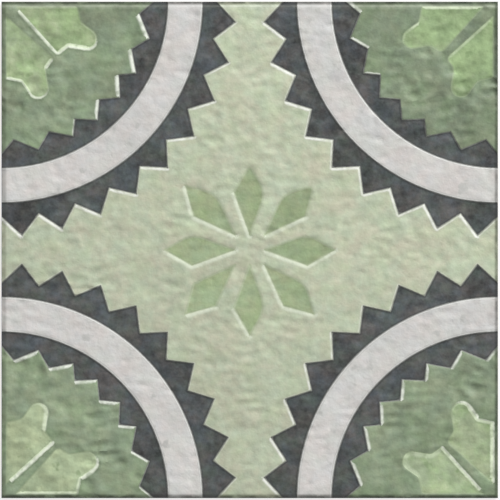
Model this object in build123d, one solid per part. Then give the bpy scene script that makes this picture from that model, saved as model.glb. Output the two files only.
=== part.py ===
from build123d import *
import os
from math import cos, radians, sin, tan

# A square pressed and fired floor tile, lying face up, with the middle of its back at the origin.
# Lengths are in millimetres, angles in degrees. +Z is the outward normal of the patterned face.

# Slab
SIDE = 300.0
THICKNESS = 8.0
ARRIS_RADIUS = 1.5
BACK_CHAMFER = 1.0

# Relief of the face: fields sunk by the press, with flat floors and walls that lean outwards
RELIEF_DEPTH = 0.5
WALL_DRAFT = 40.0
PUNCH_LIFT = 0.6

# Plain ring about each corner of the tile, left at face level between two sunk toothed bands
RING_INNER_RADIUS = 100.6
RING_WIDTH = 20.8

# Band outside the ring, with even teeth pointing at the middle of the tile
OUTER_BAND_WIDTH = 8.6
OUTER_TOOTH_HEIGHT = 12.0
OUTER_TEETH_PER_CORNER = 9

# Band inside the ring, with teeth pointing at the corner, at these angles each side of the diagonal
INNER_BAND_WIDTH = 8.6
INNER_TOOTH_HEIGHT = 8.5
INNER_TIP_ANGLES = (13.0, 25.0, 40.0)
INNER_ROOT_ANGLES = (6.0, 17.0, 31.0)

# Eight kite-shaped petals about the middle, those on the diagonals set further out
PETAL_LENGTH = 42.6
PETAL_SHOULDER = 26.0
PETAL_WIDTH = 19.0
AXIS_PETAL_START = 8.9
DIAGONAL_PETAL_START = 12.4

# One of the two leaves in each corner, as (along the edge, in from the edge) measured from the corner
LEAF_STEM = (9.0, 3.0)
LEAF_TIP = (34.2, 31.0)
LEAF_NOTCH = (40.3, 26.4)
LOBE_START = (51.6, 28.2)
LOBE_CROWN = (57.5, 23.0)
LOBE_END = (54.6, 17.2)
LEAF_WAIST = (47.8, 12.4)
LEAF_HEEL = (45.8, 3.0)

# Keyed back: a lattice of ribs left by shallow square pockets, with a rib crossing in the middle
KEY_PITCH = 24.0
KEY_RIB_WIDTH = 4.0
KEY_DEPTH = 0.8
KEY_DRAFT = 45.0
BACK_BORDER = 5.0

PUNCH_HEIGHT = RELIEF_DEPTH + PUNCH_LIFT
WALL_LEAN = PUNCH_HEIGHT * tan(radians(WALL_DRAFT))
RING_OUTER_RADIUS = RING_INNER_RADIUS + RING_WIDTH
QUARTER = 90.0


def polar(radius, angle):
    """Point at a radius and an angle about the origin."""
    return (radius * cos(radians(angle)), radius * sin(radians(angle)))


def closed_face(points):
    """Flat face inside a closed run of straight edges."""
    return make_face(Polyline(*points, close=True))


def punch(outline):
    """Drafted solid that widens from the outline of its floor to its top."""
    top = Pos(0, 0, PUNCH_HEIGHT) * offset(outline, WALL_LEAN, kind=Kind.INTERSECTION)
    return loft([outline.face(), top.face()], ruled=True)


def island(outline):
    """Drafted solid that narrows from the outline of its foot to its top."""
    return extrude(outline, amount=PUNCH_HEIGHT, taper=WALL_DRAFT)


def round_punch(radius, lean):
    """Drafted round solid, growing by the lean from its floor to its top."""
    return Cone(radius, radius + lean, PUNCH_HEIGHT, align=(Align.CENTER, Align.CENTER, Align.MIN))


def outer_band():
    """Sunk band between the ring and the teeth that point away from the corner."""
    root_radius = RING_OUTER_RADIUS + OUTER_BAND_WIDTH
    tip_radius = root_radius + OUTER_TOOTH_HEIGHT
    pitch = QUARTER / OUTER_TEETH_PER_CORNER
    points = []
    for tooth in range(4 * OUTER_TEETH_PER_CORNER):
        points.append(polar(root_radius, tooth * pitch))
        points.append(polar(tip_radius, (tooth + 0.5) * pitch))
    return punch(closed_face(points)) - round_punch(RING_OUTER_RADIUS, -WALL_LEAN)


def inner_band():
    """Sunk band between the ring and the teeth that point at the corner."""
    root_radius = RING_INNER_RADIUS - INNER_BAND_WIDTH
    tip_radius = root_radius - INNER_TOOTH_HEIGHT
    corners = [(0.0, tip_radius), (QUARTER / 2, root_radius)]
    for side in (-1, 1):
        corners += [(side * angle, tip_radius) for angle in INNER_TIP_ANGLES]
        corners += [(side * angle, root_radius) for angle in INNER_ROOT_ANGLES]
    quarter = sorted(corners)
    points = []
    for turn in range(4):
        points += [polar(radius, angle + (turn + 0.5) * QUARTER) for angle, radius in quarter]
    return round_punch(RING_INNER_RADIUS, WALL_LEAN) - island(closed_face(points))


def leaf():
    """Sunk leaf beside the diagonal of the corner, with its rounded side lobe."""
    flank = Polyline(LEAF_HEEL, LEAF_STEM, LEAF_TIP, LEAF_NOTCH, LOBE_START)
    lobe = ThreePointArc(LOBE_START, LOBE_CROWN, LOBE_END)
    waist = Polyline(LOBE_END, LEAF_WAIST, LEAF_HEEL)
    return punch(make_face([flank, lobe, waist]))


def petal(start):
    """Sunk kite-shaped petal along +X, from its inner tip."""
    half_width = PETAL_WIDTH / 2
    shoulder = start + PETAL_SHOULDER
    points = [(start, 0), (shoulder, -half_width), (start + PETAL_LENGTH, 0), (shoulder, half_width)]
    return punch(closed_face(points))


def corner_relief():
    """Punches of one corner: both toothed bands and the pair of leaves."""
    one_leaf = leaf()
    other_leaf = mirror(one_leaf, about=Plane((0, 0, 0), x_dir=(1, 1, 0), z_dir=(1, -1, 0)))
    return [outer_band(), inner_band(), one_leaf, other_leaf]


def face_relief():
    """Punches of the whole face, with their floors at the sunk level."""
    sunk = Pos(0, 0, THICKNESS - RELIEF_DEPTH)
    corner = [Pos(-SIDE / 2, -SIDE / 2, 0) * solid for solid in corner_relief()]
    petals = [petal(AXIS_PETAL_START), Rot(0, 0, QUARTER / 2) * petal(DIAGONAL_PETAL_START)]
    turns = [sunk * Rot(0, 0, turn * QUARTER) for turn in range(4)]
    return [turn * solid for turn in turns for solid in corner + petals]


def back_keys():
    """Shallow square pockets that leave the ribs of the back."""
    per_half = int((SIDE / 2 - BACK_BORDER) // KEY_PITCH)
    mouth = Rectangle(KEY_PITCH - KEY_RIB_WIDTH, KEY_PITCH - KEY_RIB_WIDTH)
    pocket = extrude(mouth, amount=KEY_DEPTH, taper=KEY_DRAFT)
    return [place * pocket for place in GridLocations(KEY_PITCH, KEY_PITCH, 2 * per_half, 2 * per_half)]


def blank():
    """Plain slab with a rounded arris round the face and a chamfer round the back."""
    slab = Box(SIDE, SIDE, THICKNESS, align=(Align.CENTER, Align.CENTER, Align.MIN))
    slab = fillet(slab.faces().sort_by(Axis.Z)[-1].edges(), ARRIS_RADIUS)
    return chamfer(slab.faces().sort_by(Axis.Z)[0].edges(), BACK_CHAMFER)


def tile():
    """The fired tile as one solid."""
    return blank() - back_keys() - face_relief()


os.makedirs("parts", exist_ok=True)
export_step(tile().solid(), "parts/tile.step")
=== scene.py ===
"""Looks of a square pressed floor tile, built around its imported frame.

The tile is one closed mesh. Every outline of the pressed pattern is a line of that mesh, so each glaze
ends on a real edge of the relief. Plan sizes are in millimetres from the middle of the tile, with +Y
towards the top of the picture, and the finished mesh is in metres.
"""

import logging
import math
from dataclasses import dataclass
from enum import IntEnum

import bpy
import numpy as np
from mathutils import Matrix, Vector
from mathutils.geometry import delaunay_2d_cdt


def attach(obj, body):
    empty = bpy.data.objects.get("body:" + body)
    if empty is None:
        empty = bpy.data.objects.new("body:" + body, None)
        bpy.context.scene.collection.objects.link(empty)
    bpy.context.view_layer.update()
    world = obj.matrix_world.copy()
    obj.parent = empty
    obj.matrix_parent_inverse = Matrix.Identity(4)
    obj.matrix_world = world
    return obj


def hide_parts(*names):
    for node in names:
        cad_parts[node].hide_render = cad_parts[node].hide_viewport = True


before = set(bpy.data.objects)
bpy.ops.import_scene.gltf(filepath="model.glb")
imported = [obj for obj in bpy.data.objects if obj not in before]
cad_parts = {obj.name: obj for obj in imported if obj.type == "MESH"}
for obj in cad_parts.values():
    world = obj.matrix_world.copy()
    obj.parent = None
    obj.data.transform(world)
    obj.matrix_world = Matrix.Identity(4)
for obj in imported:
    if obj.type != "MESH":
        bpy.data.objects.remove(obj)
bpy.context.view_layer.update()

Array = np.ndarray
Socket = bpy.types.NodeSocket
Feed = Socket | float | tuple[float, ...]
Corner = tuple[int, int]
PaleLine = tuple[float, float, float]
Sockets = bpy.types.bpy_prop_collection

MM = 0.001
NODE = "tile"
PIECE = "glazed_tile"
BODY = "root"
SEED = 17
QUARTER = 90.0
FULL_TURN = 2.0 * math.pi
SQUARE = np.array([(-1.0, -1.0), (1.0, -1.0), (1.0, 1.0), (-1.0, 1.0)])
CORNERS: tuple[Corner, ...] = ((-1, 1), (1, 1), (1, -1), (-1, -1))
# Direction in plan that the bright walls of the relief face, and how far a fully lit wall turns to it
LIT_SIDE = np.array((-0.5, -0.866))
FULLY_LIT = 0.5
# Longest rounding of a corner, as a share of the edge beside it
ROUNDING_LIMIT = 0.45
# Limits below which a value counts as nothing, a corner as straight, and points as on the edge or as one
TINY = 1e-9
STRAIGHT = 1e-4
ON_EDGE = 1e-4
JOINED_WITHIN = 2e-3
# Distance in millimetres that is stored where no outline is near
FAR = 100.0
# How far a triangle's corner is pulled to its middle before the line beside it is looked up
CORNER_PULL = 0.12
# The unevenness of the press is drawn out across the face
STRETCH = np.array((1.3, 0.85))
# Mean and spread of a folded wave of unit strength
FOLD_MIDDLE = math.sqrt(2.0 / math.pi)
FOLD_SPREAD = math.sqrt(1.0 - 2.0 / math.pi)

log = logging.getLogger(NODE)


class Glaze(IntEnum):
    """Glaze fields of the face and the bare clay, in the order of the material slots."""

    GROUND = 0
    BAND = 1
    RING = 2
    FIELD = 3
    LEAF = 4
    PETAL = 5
    CLAY = 6


SUNK_GLAZES = (Glaze.BAND, Glaze.LEAF, Glaze.PETAL)
# Strength of the unevenness of the press in each glaze
UNEVENNESS: dict[Glaze, float] = {
    Glaze.GROUND: 0.95,
    Glaze.BAND: 0.9,
    Glaze.RING: 0.6,
    Glaze.FIELD: 1.95,
    Glaze.LEAF: 1.85,
    Glaze.PETAL: 0.72,
    Glaze.CLAY: 1.0,
}


def smooth_step(low: float, high: float, value: Array) -> Array:
    """Eased ramp from 0 at the low end to 1 at the high end."""
    share = np.clip((value - low) / (high - low), 0.0, 1.0)
    return share * share * (3.0 - 2.0 * share)


def polar(radius: float, angle: float) -> tuple[float, float]:
    """Point at a radius and an angle in degrees about the origin."""
    return radius * math.cos(math.radians(angle)), radius * math.sin(math.radians(angle))


@dataclass(frozen=True)
class ReliefWall:
    """Wall of a sunk field: how far it reaches into the field and out of it, in millimetres.

    Attributes:
        lit: Both reaches where the wall faces the light.
        shaded: Both reaches where it faces away from the light.
    """

    lit: tuple[float, float] = (0.2, 0.8)
    shaded: tuple[float, float] = (0.7, 0.3)

    def reach(self, normals: Array) -> Array:
        """Both reaches at edges with these normals, which point out of the field, one row each."""
        share = smooth_step(0.0, FULLY_LIT, normals @ LIT_SIDE)[:, None]
        return (1.0 - share) * np.array(self.shaded) + share * np.array(self.lit)


@dataclass(frozen=True)
class Outline:
    """Closed run of straight edges in plan, with the sunk field to the left of each edge.

    Attributes:
        points: Corner points in order, one row each.
        lines: Pale line of each edge: its width within the sunk field and outside it, and its strength.
        wall: Wall of the sunk field.
    """

    points: Array
    lines: Array
    wall: ReliefWall = ReliefWall()

    @classmethod
    def drawn(
        cls,
        points: Array,
        lines: Array | None = None,
        wall: ReliefWall = ReliefWall(),
        sunk_inside: bool = True,
    ) -> "Outline":
        """Outline through points in either order, turned so that the sunk field lies to the left.

        Args:
            points: Corner points in order, one row each.
            lines: Pale lines, one row for each edge, or none.
            wall: Wall of the sunk field.
            sunk_inside: Whether the sunk field is inside the outline.

        Returns:
            The outline, run the right way round.
        """
        own = np.zeros((len(points), 3)) if lines is None else lines
        ends = np.roll(points, -1, axis=0)
        doubled_area = (points[:, 0] * ends[:, 1] - points[:, 1] * ends[:, 0]).sum()
        if (doubled_area > 0.0) == sunk_inside:
            return cls(points, own, wall)
        return cls(points[::-1], np.roll(own[::-1], -1, axis=0), wall)

    def softened(self, reaches: Array, cuts: int = 5) -> "Outline":
        """The outline with rounded corners, along which the line of one edge turns into the next.

        Args:
            reaches: How far from each corner its rounding starts, 0 for a sharp corner.
            cuts: Number of short edges in a rounded corner.

        Returns:
            The rounded outline.
        """
        points, lines = [], []
        before, after = np.roll(self.points, 1, axis=0), np.roll(self.points, -1, axis=0)
        for number, (corner, reach) in enumerate(zip(self.points, reaches)):
            shares = np.linspace(0.0, 1.0, cuts + 1)[:, None] if reach else np.ones((1, 1))
            legs = np.stack([before[number], after[number]]) - corner
            lengths = np.linalg.norm(legs, axis=1)[:, None]
            back, ahead = np.minimum(reach, ROUNDING_LIMIT * lengths) * legs / lengths
            points.append(corner + (1.0 - shares) ** 2 * back + shares**2 * ahead)
            lines.append((1.0 - shares) * self.lines[number - 1] + shares * self.lines[number])
        return Outline(np.vstack(points), np.vstack(lines), self.wall)

    def edges(self) -> tuple[Array, Array]:
        """Start and end points of the edges."""
        return self.points, np.roll(self.points, -1, axis=0)

    def normals(self) -> Array:
        """Unit normals of the edges, pointing away from the sunk field.

        Returns:
            The normals, one row for each edge.
        """
        starts, ends = self.edges()
        along = (ends - starts) / np.linalg.norm(ends - starts, axis=1)[:, None]
        return np.stack([along[:, 1], -along[:, 0]], axis=1)

    def moved(self, distances: Array, step: float) -> Array:
        """Points along the outline, with each edge moved sideways and the corners mitred.

        Args:
            distances: How far each edge moves, away from the sunk field.
            step: Longest length between two points.

        Returns:
            The points in order, one row each.
        """
        after = self.normals()
        before, earlier = np.roll(after, 1, axis=0), np.roll(distances, 1)
        turn = (before * after).sum(1)
        sharpness = np.maximum(1.0 - turn**2, TINY)
        on_before = (earlier - turn * distances) / sharpness
        on_after = (distances - turn * earlier) / sharpness
        straight = sharpness < STRAIGHT
        on_before[straight] = earlier[straight] / 2.0
        on_after[straight] = distances[straight] / 2.0
        corners = self.points + on_before[:, None] * before + on_after[:, None] * after
        rows = []
        for start, end in zip(corners, np.roll(corners, -1, axis=0)):
            cuts = max(1, math.ceil(np.linalg.norm(end - start) / step))
            rows.append(start + np.arange(cuts)[:, None] / cuts * (end - start))
        return np.vstack(rows)

    def wall_line(self, share: float, step: float) -> Array:
        """Points along the wall, from its foot at a share of -1 over the outline at 0 to its top at 1."""
        return self.moved(share * self.wall.reach(self.normals())[:, int(share > 0.0)], step)

    def survey(self, at: Array) -> tuple[Array, Array, Array]:
        """Nearest edge of each point.

        Args:
            at: Points to measure from, one row each.

        Returns:
            The distances to the outline, and the line widths and the reaches of the wall at the
            nearest edges, one row each.
        """
        best = np.full(len(at), np.inf)
        index = np.zeros(len(at), int)
        for edge, (start, end) in enumerate(zip(*self.edges())):
            along = end - start
            share = np.clip((at - start) @ along / (along @ along), 0.0, 1.0)
            gap = np.hypot(*(at - start - share[:, None] * along).T)
            closer = gap < best
            best[closer] = gap[closer]
            index[closer] = edge
        return best, self.lines[index], self.wall.reach(self.normals())[index]

    def holds(self, at: Array) -> Array:
        """Whether each point lies inside the outline, by counting crossings.

        Args:
            at: Points in plan, one row each.

        Returns:
            True for each point inside.
        """
        inside = np.zeros(len(at), bool)
        for start, end in zip(*self.edges()):
            if start[1] == end[1]:
                continue
            spans = (start[1] > at[:, 1]) != (end[1] > at[:, 1])
            crossing = start[0] + (at[:, 1] - start[1]) * (end[0] - start[0]) / (end[1] - start[1])
            inside ^= spans & (at[:, 0] < crossing)
        return inside


@dataclass(frozen=True)
class RingOutline:
    """Circle about a corner of the tile that parts the plain ring from a sunk band.

    Attributes:
        centre: Corner of the tile.
        radius: Radius of the circle.
        sunk_side: 1 where the sunk band is inside the circle, -1 where it is outside.
        lines: Width of the pale line within the sunk band and on the ring, and its strength.
        wall: Wall of the sunk band.
    """

    centre: Array
    radius: float
    sunk_side: int
    lines: PaleLine
    wall: ReliefWall = ReliefWall()

    def wall_line(self, share: float, step: float) -> Array:
        """Points along the wall, from its foot at a share of -1 over the circle at 0 to its top at 1.

        Args:
            share: Which line of the wall.
            step: Longest length between two points.

        Returns:
            The points in order, one row each.
        """
        cuts = math.ceil(FULL_TURN * self.radius / step)
        turns = np.linspace(0.0, FULL_TURN, cuts, endpoint=False)
        away = self.sunk_side * np.stack([np.cos(turns), np.sin(turns)], axis=1)
        distance = share * self.wall.reach(away)[:, int(share > 0.0)]
        return self.centre + (self.sunk_side * self.radius + distance)[:, None] * away

    def survey(self, at: Array) -> tuple[Array, Array, Array]:
        """Distance of each point to the circle, and the line widths and reaches of the wall there.

        Args:
            at: Points in plan, one row each.

        Returns:
            The distances, and the pale lines and reaches, one row each.
        """
        apart = at - self.centre
        reach = np.hypot(*apart.T)
        away = self.sunk_side * apart / np.maximum(reach, TINY)[:, None]
        return np.abs(reach - self.radius), np.tile(self.lines, (len(at), 1)), self.wall.reach(away)

    def holds(self, at: Array) -> Array:
        """Whether each point lies inside the circle."""
        return np.hypot(*(at - self.centre).T) < self.radius


@dataclass(frozen=True)
class GlazeField:
    """Field of the face: the glaze that lies inside an outline."""

    glaze: Glaze
    outline: Outline | RingOutline


class LeafSide(IntEnum):
    """Edges of a leaf, in order round it from the one beside the edge of the tile."""

    HEM = 0
    FOOT = 1
    STEM = 2
    TIP = 3
    NOTCH = 4
    LOBE_TOP = 5
    LOBE_END = 6
    WAIST = 7
    HEEL = 8


LeafLines = dict[LeafSide, PaleLine]
NO_LINE: PaleLine = (0.0, 0.0, 0.0)


@dataclass(frozen=True)
class LeafEdge:
    """Edge of a leaf, with its start measured from the corner along the tile's edge and in from it.

    Attributes:
        side: Which edge it is.
        along: How far its start is from the corner of the tile, along the tile's edge.
        inwards: How far its start is from that edge.
        rounding: How far from its start the rounding of that corner reaches.
    """

    side: LeafSide
    along: float
    inwards: float
    rounding: float = 0.0


@dataclass(frozen=True)
class CornerLines:
    """How the pale lines came out in one corner of the tile.

    Attributes:
        teeth: Strength of the lines of the inner teeth.
        fade: How much those weaken along the ring, below zero where they gain.
        leading: Lines of the leaf along the artwork's first axis, for the edges that have one.
        trailing: The same for the leaf along the second axis.
        leaf_wall: Wall of both leaves.
    """

    teeth: float
    fade: float
    leading: LeafLines
    trailing: LeafLines
    leaf_wall: ReliefWall = ReliefWall((0.5, 1.3), (3.0, 1.8))


@dataclass(frozen=True)
class FacePattern:
    """Plan of the pressed pattern: ringed corners with leaves, and a rosette of petals in the middle.

    A corner's artwork is drawn from that corner, with its first axis along one edge of the tile and
    its second along the other, and it turns with each quarter of the face. Lengths are in millimetres
    and angles in degrees.

    Attributes:
        ring_line: Width of the pale lines along the ring.
        outer_line_least: Width of the pale lines of the outer teeth that face away from the light.
        outer_line_gain: How much wider they are on teeth that face the light.
        inner_line_least: Least width of the pale lines of the inner teeth, at full strength.
        inner_line: Width of those that start at the tip of a tooth, at full strength.
        corner_lines: How the pale lines came out in each corner, in the order of CORNERS.
        fade_start: Angle along the ring at which the lines of the inner teeth start to fade.
        petal_line_lit: How far a petal's edge turns to the light where its line starts and is full.
        petal_crease_share: Width of that line within the petal, as a share of the width outside it.
        shade_limit: How far the edges at a petal's corner may turn to the light if it is rounded.
        behind_corner: Where the toothed outlines close, outside the tile.
        leaf_flank: Edges of a leaf before its lobe.
        lobe_crown: Point that the arc of the lobe passes through.
        lobe_blends: How often the lines along the lobe are evened out.
        line_sharpness: Share of a leaf corner's rounding that a full pale line takes away.
        leaf_waist: Edges of a leaf after its lobe.
    """

    half_side: float = 150.0
    ring_inner_radius: float = 100.6
    ring_width: float = 20.8
    ring_line: float = 0.8
    outer_band_width: float = 8.6
    outer_tooth_height: float = 12.0
    outer_teeth: int = 9
    outer_line_least: float = 0.8
    outer_line_gain: float = 1.1
    inner_band_width: float = 8.6
    inner_tooth_height: float = 8.5
    inner_tip_angles: tuple[float, ...] = (5.0, 20.0, 32.0, 45.0, 58.0, 70.0, 85.0)
    inner_root_angles: tuple[float, ...] = (0.0, 14.0, 28.0, 39.0, 51.0, 62.0, 76.0, 90.0)
    inner_line_least: float = 0.3
    inner_line: float = 2.35
    corner_lines: tuple[CornerLines, ...] = (
        CornerLines(
            teeth=1.0,
            fade=1.8,
            leading={
                LeafSide.STEM: (0.3, 1.8, 0.7),
                LeafSide.TIP: (1.3, 1.2, 0.75),
                LeafSide.NOTCH: (1.5, 1.5, 0.9),
                LeafSide.LOBE_TOP: (0.6, 1.5, 0.75),
                LeafSide.LOBE_END: (1.0, 0.0, 0.25),
                LeafSide.WAIST: (1.0, 0.0, 0.25),
            },
            trailing={
                LeafSide.TIP: (1.3, 1.1, 0.85),
                LeafSide.NOTCH: (0.6, 0.4, 0.3),
                LeafSide.LOBE_TOP: (0.4, 1.0, 0.5),
                LeafSide.LOBE_END: (0.3, 1.6, 0.75),
                LeafSide.WAIST: (0.8, 0.9, 0.55),
                LeafSide.HEEL: (1.0, 1.1, 0.8),
            },
        ),
        CornerLines(
            teeth=0.12,
            fade=-7.0,
            leading={LeafSide.STEM: (1.6, 0.2, 0.35)},
            trailing={
                LeafSide.LOBE_END: (1.6, 0.0, 0.25),
                LeafSide.WAIST: (1.4, 0.5, 0.65),
                LeafSide.HEM: (1.6, 0.4, 0.85),
            },
            leaf_wall=ReliefWall((1.5, 2.6), (2.2, 1.8)),
        ),
        CornerLines(
            teeth=0.85,
            fade=0.15,
            leading={
                LeafSide.STEM: (1.3, 1.1, 1.0),
                LeafSide.TIP: (2.6, 0.0, 0.4),
                LeafSide.NOTCH: (3.0, 0.0, 0.5),
                LeafSide.LOBE_TOP: (3.0, 0.2, 0.5),
                LeafSide.LOBE_END: (3.0, 0.4, 0.4),
                LeafSide.WAIST: (2.6, 0.0, 0.35),
            },
            trailing={
                LeafSide.LOBE_TOP: (1.0, 0.4, 0.3),
                LeafSide.LOBE_END: (1.0, 1.4, 0.85),
                LeafSide.WAIST: (1.4, 1.7, 1.0),
                LeafSide.HEEL: (1.7, 0.8, 0.8),
                LeafSide.HEM: (1.8, 1.0, 1.0),
            },
        ),
        CornerLines(
            teeth=0.85,
            fade=0.5,
            leading={
                LeafSide.STEM: (0.8, 1.8, 1.0),
                LeafSide.NOTCH: (2.4, 0.5, 0.95),
                LeafSide.LOBE_TOP: (2.2, 0.5, 0.85),
                LeafSide.LOBE_END: (1.0, 0.2, 0.3),
            },
            trailing={
                LeafSide.LOBE_TOP: (0.8, 0.2, 0.3),
                LeafSide.LOBE_END: (0.5, 1.7, 0.95),
                LeafSide.WAIST: (0.6, 2.2, 1.0),
                LeafSide.HEEL: (1.4, 0.7, 0.75),
                LeafSide.HEM: (1.2, 0.6, 0.8),
            },
        ),
    )
    fade_start: float = 35.0
    petal_length: float = 42.6
    petal_shoulder: float = 26.0
    petal_width: float = 19.0
    axis_petal_start: float = 8.9
    diagonal_petal_start: float = 12.4
    petals: int = 8
    petal_line: float = 2.5
    petal_line_lit: tuple[float, float] = (0.2, 0.6)
    petal_line_strength: float = 0.53
    petal_crease_share: float = 0.03
    petal_wall: ReliefWall = ReliefWall((0.5, 1.9), (1.6, 1.8))
    shoulder_rounding: float = 7.5
    tip_rounding: float = 5.0
    shade_limit: float = 0.2
    behind_corner: float = -30.0
    leaf_flank: tuple[LeafEdge, ...] = (
        LeafEdge(LeafSide.HEM, 45.8, 3.0, rounding=1.5),
        LeafEdge(LeafSide.FOOT, 9.0, 3.0),
        LeafEdge(LeafSide.STEM, 10.8, 5.0),
        LeafEdge(LeafSide.TIP, 34.2, 31.0, rounding=3.4),
        LeafEdge(LeafSide.NOTCH, 40.3, 26.4, rounding=2.8),
    )
    lobe_start: tuple[float, float] = (51.6, 28.2)
    lobe_crown: tuple[float, float] = (57.5, 23.0)
    lobe_cuts: int = 10
    lobe_blends: int = 3
    line_sharpness: float = 0.75
    leaf_waist: tuple[LeafEdge, ...] = (
        LeafEdge(LeafSide.WAIST, 54.6, 17.2),
        LeafEdge(LeafSide.HEEL, 47.8, 12.4, rounding=2.2),
    )

    @property
    def ring_outer_radius(self) -> float:
        """Outer radius of the plain ring."""
        return self.ring_inner_radius + self.ring_width

    def lit(self, normals: Array) -> Array:
        """How far edges with these outward normals turn to the side where the relief shows bright."""
        return np.clip(normals @ LIT_SIDE, 0.0, 1.0)

    def lines_of(self, corner: Corner) -> CornerLines:
        """How the pale lines of one corner came out."""
        return self.corner_lines[CORNERS.index(corner)]

    def placed(self, points: Array, corner: Corner) -> Array:
        """Points of the artwork moved to one corner of the tile."""
        turned = points[:, ::-1] if corner[0] == corner[1] else points
        return np.array(corner) * (self.half_side - turned)

    def outer_teeth_outline(self, corner: Corner) -> Outline:
        """Toothed edge of the sunk band outside the ring, closed behind the corner.

        Args:
            corner: Corner of the tile.

        Returns:
            The outline, with its pale lines.
        """
        root = self.ring_outer_radius + self.outer_band_width
        tip = root + self.outer_tooth_height
        pitch = QUARTER / self.outer_teeth
        points = [(self.behind_corner, self.behind_corner)]
        for tooth in range(-1, self.outer_teeth + 1):
            points.append(polar(root, tooth * pitch))
            points.append(polar(tip, (tooth + 0.5) * pitch))
        bare = Outline.drawn(self.placed(np.array(points), corner))
        # The lines widen where the wall faces the light: there they are partly painted highlight.
        outside = self.outer_line_least + self.outer_line_gain * self.lit(bare.normals())
        return Outline(bare.points, np.stack([0.0 * outside, outside, np.ones_like(outside)], axis=1))

    def inner_teeth_outline(self, corner: Corner) -> Outline:
        """Toothed edge of the sunk band inside the ring, closed behind the corner.

        Args:
            corner: Corner of the tile.

        Returns:
            The outline, with its pale lines.
        """
        root = self.ring_inner_radius - self.inner_band_width
        tip = root - self.inner_tooth_height
        past = min(self.inner_tip_angles)
        tips = (-past, *self.inner_tip_angles, QUARTER + past)
        spokes = [(angle, tip) for angle in tips] + [(angle, root) for angle in self.inner_root_angles]
        spokes.sort()
        teeth = [polar(reach, angle) for angle, reach in spokes]
        points = np.array([(self.behind_corner, self.behind_corner), *teeth])
        from_tip = np.array([0.0] + [float(reach == tip) for _, reach in spokes])
        came_out = self.lines_of(corner)
        along = np.array([0.0] + [angle for angle, _ in spokes])
        faded = 1.0 - came_out.fade * smooth_step(self.fade_start, QUARTER, along)
        outside = came_out.teeth * np.maximum(self.inner_line * from_tip * faded, self.inner_line_least)
        lines = np.stack([0.0 * outside, outside, np.ones_like(outside)], axis=1)
        return Outline.drawn(self.placed(points, corner), lines, sunk_inside=False)

    def lobe(self) -> list[LeafEdge]:
        """Short edges along the round lobe of a leaf, up to the start of its waist.

        Returns:
            The edges in order.
        """
        waist = self.leaf_waist[0]
        ends = (self.lobe_start, self.lobe_crown, (waist.along, waist.inwards))
        start, crown, end = (complex(*point) for point in ends)
        lean = (crown - start) / (end - start)
        centre = start + (end - start) * (lean - abs(lean) ** 2) / (lean - lean.conjugate())
        sweep = np.angle((end - centre) / (start - centre)) % -FULL_TURN
        edges = []
        for cut in range(self.lobe_cuts):
            point = centre + (start - centre) * np.exp(1j * sweep * cut / self.lobe_cuts)
            side = LeafSide.LOBE_TOP if 2 * cut < self.lobe_cuts else LeafSide.LOBE_END
            edges.append(LeafEdge(side, point.real, point.imag))
        return edges

    def leaf_outlines(self, corner: Corner) -> list[Outline]:
        """The two sunk leaves of a corner, mirrored about its diagonal.

        Args:
            corner: Corner of the tile.

        Returns:
            Both outlines, with their pale lines.
        """
        edges = [*self.leaf_flank, *self.lobe(), *self.leaf_waist]
        points = np.array([(edge.along, edge.inwards) for edge in edges])
        reaches = np.array([edge.rounding for edge in edges])
        came_out = self.lines_of(corner)
        first = len(self.leaf_flank)
        last = first + self.lobe_cuts
        found = []
        for own, sides in ((points, came_out.leading), (points[:, ::-1], came_out.trailing)):
            lines = np.array([sides.get(edge.side, NO_LINE) for edge in edges])
            for _ in range(self.lobe_blends):
                sum_beside = lines[first - 1 : last - 1] + lines[first + 1 : last + 1]
                lines[first:last] = (2.0 * lines[first:last] + sum_beside) / 4.0
            strongest = np.maximum(lines[:, 2], np.roll(lines[:, 2], 1))
            leaf = Outline(own, lines).softened(reaches * (1.0 - self.line_sharpness * strongest))
            found.append(Outline.drawn(self.placed(leaf.points, corner), leaf.lines, came_out.leaf_wall))
        return found

    def rounded_petal(self, kite: Outline) -> Outline:
        """Petal with its corners rounded where both edges lie in the shade, all but the inner tip.

        Args:
            kite: The petal with four sharp corners.

        Returns:
            The petal, with pale lines along its lit edges.
        """
        lit = self.lit(kite.normals())
        # Pale lines only on the edges that face the light are painted highlights; the crease just inside
        # them is painted shade.
        outside = self.petal_line * smooth_step(*self.petal_line_lit, lit)
        strength = np.full(len(outside), self.petal_line_strength)
        lines = np.stack([self.petal_crease_share * outside, outside, strength], axis=1)
        from_middle = np.hypot(*kite.points.T)
        reaches = np.full(len(outside), self.shoulder_rounding)
        reaches[from_middle.argmax()] = self.tip_rounding
        reaches[from_middle.argmin()] = 0.0
        reaches[np.maximum(lit, np.roll(lit, 1)) > self.shade_limit] = 0.0
        return Outline(kite.points, lines, self.petal_wall).softened(reaches)

    def petal_outlines(self) -> list[Outline]:
        """Sunk petals about the middle, those on the diagonals set further out.

        Returns:
            The outlines, with their pale lines.
        """
        half_width = self.petal_width / 2
        found = []
        pitch = 4.0 * QUARTER / self.petals
        for turn in range(self.petals):
            start = self.diagonal_petal_start if turn % 2 else self.axis_petal_start
            shoulder = start + self.petal_shoulder
            tip = start + self.petal_length
            kite = np.array([(start, 0.0), (shoulder, -half_width), (tip, 0.0), (shoulder, half_width)])
            cos, sin = polar(1.0, turn * pitch)
            found.append(self.rounded_petal(Outline.drawn(kite @ np.array([[cos, sin], [-sin, cos]]))))
        return found

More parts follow.
